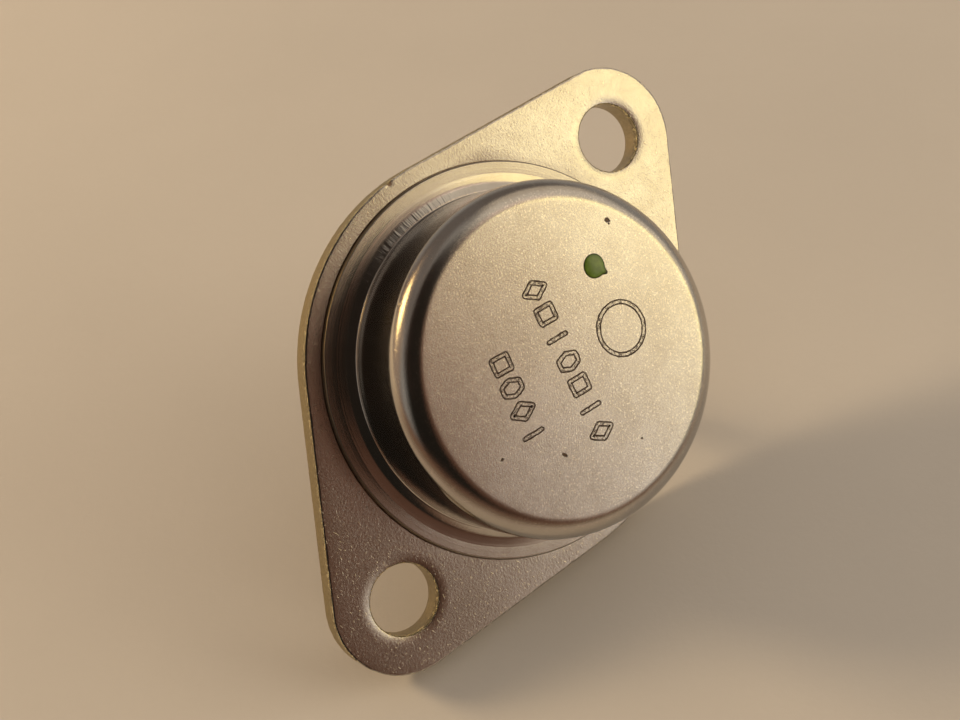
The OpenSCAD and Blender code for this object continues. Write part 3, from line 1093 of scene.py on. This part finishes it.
# The cloth's patches: azimuth, its half width, elevation, its half height, how much it hides,
# how softly it ends and how brown it is
CLOTH_PATCHES = (
    (172, 48, 44, 54, 1.0, 18, 0.0), (165, 62, 66, 34, 0.9, 12, 0.1), (152, 33, 48, 19, 1.0, 5, 0.0),
    (131, 12, 13, 15, 0.95, 8, 1.0), (123, 9, 30, 7, 1.0, 5, 0.9), (0, 55, 45, 28, 0.6, 12, 0.2),
    (-85, 60, 62, 22, 0.5, 12, 0.3), (-82, 36, 12, 36, 0.6, 12, 0.6),
)
CLOTH_RADIUS = 2450
CLOTH_TURNS, CLOTH_ROWS = 144, 40
CLOTH_FOOT = -8  # elevation of its lowest row
# The cloth's skirt on the table: how far out each ring lies, in millimetres, and what it hides
SKIRT = ((28, 0.0), (45, 0.6), (80, 0.9), (150, 0.95), (500, 0.95), (2400, 0.95))
SKIRT_MIDDLE, SKIRT_HALF, SKIRT_SOFT = 176, 88, 30


def cloth_cover(azimuth, elevation):
    """Cover of the cloth in one direction and how brown it is there, each from 0 to 1"""
    cover, brown = 0.0, 0.0
    for a, wide, e, tall, most, soft, warm in CLOTH_PATCHES:
        turn = abs((azimuth - a + 180) % 360 - 180) - wide
        rise = abs(elevation - e) - tall
        here = most * clamp(0.5 - max(turn, rise) / soft)
        brown = (brown * cover + warm * here) / max(cover + here, 0.001)
        cover = max(cover, here)
    return cover, brown


def cloth_material():
    """Velvet, black to brown, that thins out towards its edges"""
    material, t, inputs, place = new_material("Dark_Cloth", Roughness=1.0,
                                              Specular_IOR_Level=0.0)
    nap = t.noise(place, 0.05, 3.0)
    black = t.mix(nap, (0.03, 0.028, 0.025), (0.06, 0.056, 0.05))
    t.join(t.mix(t.stored("brown"), black, (0.62, 0.3, 0.2)), inputs["Base Color"])
    t.join(t.stored("cover"), inputs["Alpha"])
    return material


def add_cloth():
    """A dark hood over the set that only the reflections show"""
    points, cover, brown, faces = [], [], [], []
    azimuths = [360 * i / CLOTH_TURNS for i in range(CLOTH_TURNS)]
    for row in range(CLOTH_ROWS + 1):
        elevation = CLOTH_FOOT + (90 - CLOTH_FOOT) * row / CLOTH_ROWS
        for azimuth in azimuths:
            points.append(direction(azimuth, elevation) * CLOTH_RADIUS * MM)
            hides, warm = cloth_cover(azimuth, elevation)
            cover.append(hides)
            brown.append(warm)
    # Its skirt lies on the table in front of the part
    up = table_axes()[2]
    level = up * (EDGE_START.dot(up) + 0.6)
    for reach, hides in SKIRT:
        for azimuth in azimuths:
            side = abs((azimuth - SKIRT_MIDDLE + 180) % 360 - 180)
            points.append((level + direction(azimuth, 0) * reach) * MM)
            cover.append(hides * clamp((SKIRT_HALF - side) / SKIRT_SOFT))
            brown.append(0.3)
    rings = [list(range(first, first + CLOTH_TURNS)) for first in range(0, len(points), CLOTH_TURNS)]
    join_rows(faces, rings[:CLOTH_ROWS + 1])
    join_rows(faces, rings[CLOTH_ROWS + 1:])
    mesh = new_mesh("Dark_Hood", points, faces, cloth_material(), {"cover": cover, "brown": brown})
    hood = new_object("Dark_Hood", mesh)
    for kind in ("camera", "diffuse", "transmission", "volume_scatter", "shadow"):
        setattr(hood, "visible_" + kind, False)


# Lamps that light the set: azimuth and elevation, distance and size in metres, the setting that
# holds their power, and their tint
LAMPS = (
    ("Key", (-79, 26), 0.33, (0.075, 0.065), "key", (1, 0.78, 0.48)),
    ("Window", (94, 21), 0.4, (0.26, 0.19), "window", (1, 0.9, 0.7)),
    ("Wall", (62, 46), 0.6, (0.8, 0.5), "wall", (1, 0.93, 0.82)),
)
PANE_DISTANCE = 1.6  # in metres
# Panes that show in the metal: between which azimuths and elevations, and how bright
PANES = (
    ("Window_Pane", (93, 107), (8, 38), (2.1, 1.72, 0.8)),
    ("Window_Reveal", (107, 111.5), (10, 38), (1.55, 1.36, 0.95)),
    ("Window_Edge", (111.5, 118), (8, 19), (0.76, 0.67, 0.6)),
    ("Window_Jamb", (111.5, 118), (19, 27), (0.3, 0.15, 0.08)),
    ("Window_Corner", (111.5, 119), (27, 42), (0.5, 0.38, 0.27)),
    ("Window_Sill", (118, 125), (-2, 16), (0.5, 0.43, 0.34)),
    ("Window_Curtain", (72, 93), (6, 24), (0.5, 0.42, 0.3)),
    ("Window_Head", (88, 111), (38, 52), (0.6, 0.42, 0.33)),
    ("Wall_Glow", (28, 94), (24, 68), (0.5, 0.42, 0.31)),
    ("Key_Pane", (-87, -68), (19, 36), (7.2, 4.7, 1.7)),
    ("Key_Glow", (-96, -65), (11, 39), (0.4, 0.28, 0.13)),
    ("Key_Halo", (-116, -56), (-2, 48), (0.17, 0.12, 0.07)),
)


def add_floor(material):
    """The table's top, a hair under the edge that the part leans on"""
    half = FLOOR_SIZE / 2
    corners = [(-half, -half, 0), (half, -half, 0), (half, half, 0), (-half, half, 0)]
    axes = table_axes()
    place = (EDGE_START - axes[2] * FLOOR_DROP) * MM
    new_object("Floor", new_mesh("Floor", corners, [(0, 1, 2, 3)], material), axes, place)


def add_world(strength, tint):
    world = bpy.data.worlds.new("Studio")
    bpy.context.scene.world = world
    world.use_nodes = True
    ground = world.node_tree.nodes["Background"]
    ground.inputs["Color"].default_value = (*tint, 1)
    ground.inputs["Strength"].default_value = strength


# ---- operators


class REGULATOR_OT_flange(bpy.types.Operator):
    """Builds the pressed plate with its rolled edge and stands it for the CAD flange"""

    bl_idname = "regulator.flange"
    bl_label = "Flange"

    def execute(self, context):
        points, faces, side = flange_mesh(settings(context, "flange"))
        add_piece("flange_plate", points, faces, flange_material(settings(context, "finish")),
                  "flange", {"side": side})
        return {"FINISHED"}


class REGULATOR_OT_cap(bpy.types.Operator):
    """Builds the drawn cap with its brim, flare and crease and stands it for the CAD cap"""

    bl_idname = "regulator.cap"
    bl_label = "Cap"

    def execute(self, context):
        points, faces = cap_mesh(settings(context, "cap"))
        add_piece("drawn_cap", points, faces, cap_material(settings(context, "finish")),
                  "cap")
        return {"FINISHED"}


class REGULATOR_OT_paint_dot(bpy.types.Operator):
    """Builds the dab of green paint on the cap"""

    bl_idname = "regulator.paint_dot"
    bl_label = "Paint dot"

    def execute(self, context):
        points, faces = dot_mesh(settings(context, "marks"))
        add_piece("paint_dot", points, faces, paint_material(settings(context, "finish")),
                  "inspection_dot")
        return {"FINISHED"}


class REGULATOR_OT_marks(bpy.types.Operator):
    """Stamps two rows of plain shapes and a ring on the cap"""

    bl_idname = "regulator.marks"
    bl_label = "Ink marks"

    def execute(self, context):
        points, faces, rim = marks_mesh(settings(context, "marks"))
        add_piece("ink_marks", points, faces, ink_material(settings(context, "finish")),
                  values={"rim": rim})
        return {"FINISHED"}


def dress(nodes, material):
    """Gives CAD solids whose shape is right their finish"""
    for name in nodes:
        for place in frame["nodes"][name].material_slots:
            place.material = material


class REGULATOR_OT_leads(bpy.types.Operator):
    """Finishes the two tinned leads and their glass seals"""

    bl_idname = "regulator.leads"
    bl_label = "Leads and seals"

    def execute(self, context):
        dress(("input_lead", "output_lead"), lead_material())
        dress(("input_seal", "output_seal"), glass_material())
        return {"FINISHED"}


class REGULATOR_OT_inside(bpy.types.Operator):
    """Finishes the spreader, chip and bond wires inside the cap"""

    bl_idname = "regulator.inside"
    bl_label = "Chip and wires"

    def execute(self, context):
        dress(("heat_spreader",), inner_metal("Copper", (0.5, 0.22, 0.12), (0.75, 0.42, 0.27),
                                              0.34, 3.0, 0.000008))
        dress(("spreader_braze",), inner_metal("Braze", (0.5, 0.42, 0.28), (0.78, 0.7, 0.52),
                                               0.3, 1.4, 0.00001))
        dress(("chip_solder",), inner_metal("Solder", (0.36, 0.36, 0.38), (0.6, 0.6, 0.61),
                                            0.4, 1.2, 0.00001))
        dress(("regulator_chip",), silicon_material())
        wires = ("input_wire_near", "input_wire_far", "output_wire_near", "output_wire_far",
                 "sense_wire", "ground_wire")
        dress(wires, inner_metal("Aluminium_Wire", (0.66, 0.66, 0.67), (0.86, 0.86, 0.86),
                                 0.25, 0.8, 0.000004))
        return {"FINISHED"}


class REGULATOR_OT_studio(bpy.types.Operator):
    """Sets up the camera, the floor that the part leans on, and the lights"""

    bl_idname = "regulator.studio"
    bl_label = "Studio"

    def execute(self, context):
        studio = settings(context, "studio")
        add_camera(studio.lens)
        add_floor(floor_material(settings(context, "finish")))
        for name, place, distance, size, setting, tint in LAMPS:
            add_lamp(name, *place, distance, size, getattr(studio, setting), tint)
        for name, turns, rises, brightness in PANES:
            add_pane(name, turns, rises, brightness, studio.shine)
        add_cloth()
        add_world(studio.room, studio.room_tint)
        context.scene.view_settings.view_transform = "Standard"
        return {"FINISHED"}


OPERATORS = (
    REGULATOR_OT_flange, REGULATOR_OT_cap, REGULATOR_OT_paint_dot, REGULATOR_OT_marks,
    REGULATOR_OT_leads, REGULATOR_OT_inside, REGULATOR_OT_studio,
)
SETTINGS = {
    "flange": FlangeSettings, "cap": CapSettings, "marks": MarkSettings,
    "finish": FinishSettings, "studio": StudioSettings,
}


class REGULATOR_PT_build(bpy.types.Panel):
    """Buttons and sizes for building the regulator"""

    bl_label = "Regulator"
    bl_idname = "REGULATOR_PT_build"
    bl_space_type = "VIEW_3D"
    bl_region_type = "UI"
    bl_category = "Regulator"

    def draw(self, context):
        for part in SETTINGS:
            group = settings(context, part)
            box = self.layout.box()
            box.label(text=part.capitalize())
            for name in group.bl_rna.properties.keys():
                if name not in ("rna_type", "name"):
                    box.prop(group, name)
        for operator in OPERATORS:
            self.layout.operator(operator.bl_idname)


def register():
    for item in (*SETTINGS.values(), *OPERATORS, REGULATOR_PT_build):
        bpy.utils.register_class(item)
    for part, group in SETTINGS.items():
        setattr(bpy.types.Scene, "regulator_" + part, PointerProperty(type=group))


def unregister():
    for part in SETTINGS:
        delattr(bpy.types.Scene, "regulator_" + part)
    for item in reversed((*SETTINGS.values(), *OPERATORS, REGULATOR_PT_build)):
        bpy.utils.unregister_class(item)


def main():
    register()
    for operator in OPERATORS:
        name = operator.bl_idname.split(".")[1]
        getattr(bpy.ops.regulator, name)()


if __name__ == "__main__":
    main()
